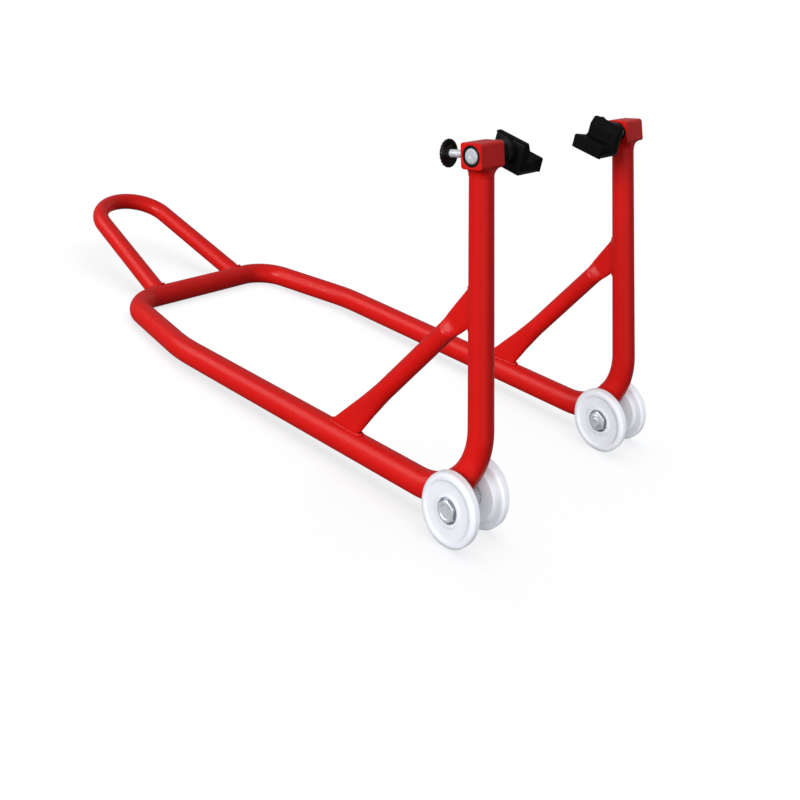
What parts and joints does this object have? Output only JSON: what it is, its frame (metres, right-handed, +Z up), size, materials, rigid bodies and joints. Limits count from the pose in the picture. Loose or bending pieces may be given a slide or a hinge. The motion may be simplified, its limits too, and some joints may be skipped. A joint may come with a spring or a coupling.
{
  "type": "paddock stand",
  "caption": "Bent-tube rear paddock stand with a handle loop, paired nylon wheels on each side and sliding, swivelling L-shaped swingarm pads with clamp knobs.",
  "frame": {"origin": "on the floor, at the bottom centre of the stand's bounding box", "axes": "+X is the stand's right side seen from the handle, along the axles; +Y points from the handle to the wheels; +Z is up"},
  "size_m": [0.3462, 0.8244, 0.3614],
  "materials": {
    "red_paint": "gloss",
    "black_plastic": "satin",
    "black_paint": "satin",
    "black_rubber": "matte",
    "white_nylon": "satin",
    "zinc": "satin"
  },
  "bodies": {
    "base": {"arm_bush_inner_left": "black_plastic", "arm_bush_inner_right": "black_plastic", "arm_bush_outer_left": "black_plastic", "arm_bush_outer_right": "black_plastic", "arm_socket_left": "red_paint", "arm_socket_right": "red_paint", "axle_bolt_left": "zinc", "axle_bolt_right": "zinc", "axle_nut_left": "zinc", "axle_nut_right": "zinc", "axle_sleeve_left": "zinc", "axle_sleeve_right": "zinc", "axle_washer_inner_left": "zinc", "axle_washer_inner_right": "zinc", "axle_washer_outer_left": "zinc", "axle_washer_outer_right": "zinc", "brace_left": "red_paint", "brace_right": "red_paint", "frame_tube": "red_paint", "handle_tube": "red_paint", "wheel_bush_inner_left": "zinc", "wheel_bush_inner_right": "zinc", "wheel_bush_outer_left": "zinc", "wheel_bush_outer_right": "zinc"},
    "wheel_outer_right": {"wheel_outer_right": "white_nylon"},
    "wheel_inner_right": {"wheel_inner_right": "white_nylon"},
    "arm_right": {"arm_bar_right": "zinc", "arm_collar_right": "black_plastic", "swivel_screw_right": "zinc"},
    "pad_right": {"pad_hub_right": "black_paint", "pad_bracket_right": "black_paint", "pad_rubber_right": "black_rubber"},
    "knob_right": {"knob_right": "black_plastic", "knob_stud_right": "zinc"},
    "wheel_outer_left": {"wheel_outer_left": "white_nylon"},
    "wheel_inner_left": {"wheel_inner_left": "white_nylon"},
    "arm_left": {"arm_bar_left": "zinc", "arm_collar_left": "black_plastic", "swivel_screw_left": "zinc"},
    "pad_left": {"pad_hub_left": "black_paint", "pad_bracket_left": "black_paint", "pad_rubber_left": "black_rubber"},
    "knob_left": {"knob_left": "black_plastic", "knob_stud_left": "zinc"}
  },
  "joints": [
    {"name": "wheel_outer_right_spin", "type": "hinge", "parent": "base", "child": "wheel_outer_right", "pos_m": [0.1629, 0.38121, 0.03099], "axis": [1, 0, 0], "continuous": true},
    {"name": "wheel_inner_right_spin", "type": "hinge", "parent": "base", "child": "wheel_inner_right", "pos_m": [0.1191, 0.38121, 0.03099], "axis": [1, 0, 0], "continuous": true},
    {"name": "arm_right_slide", "type": "slide", "parent": "base", "child": "arm_right", "axis": [-1, 0, 0], "range_m": [-0.005, 0.01]},
    {"name": "pad_right_swivel", "type": "hinge", "parent": "arm_right", "child": "pad_right", "pos_m": [0.1, 0.35962, 0.3442], "axis": [1, 0, 0], "range_deg": [-40, 40]},
    {"name": "knob_right_turn", "type": "hinge", "parent": "base", "child": "knob_right", "pos_m": [0.1565, 0.32591, 0.33784], "axis": [0, -0.9826, -0.1855], "range_deg": [0, 360]},
    {"name": "wheel_outer_left_spin", "type": "hinge", "parent": "base", "child": "wheel_outer_left", "pos_m": [-0.1629, 0.38121, 0.03099], "axis": [1, 0, 0], "continuous": true},
    {"name": "wheel_inner_left_spin", "type": "hinge", "parent": "base", "child": "wheel_inner_left", "pos_m": [-0.1191, 0.38121, 0.03099], "axis": [1, 0, 0], "continuous": true},
    {"name": "arm_left_slide", "type": "slide", "parent": "base", "child": "arm_left", "axis": [1, 0, 0], "range_m": [-0.005, 0.01]},
    {"name": "pad_left_swivel", "type": "hinge", "parent": "arm_left", "child": "pad_left", "pos_m": [-0.1, 0.35962, 0.3442], "axis": [1, 0, 0], "range_deg": [-40, 40]},
    {"name": "knob_left_turn", "type": "hinge", "parent": "base", "child": "knob_left", "pos_m": [-0.1565, 0.32591, 0.33784], "axis": [0, -0.9826, -0.1855], "range_deg": [0, 360]}
  ]
}
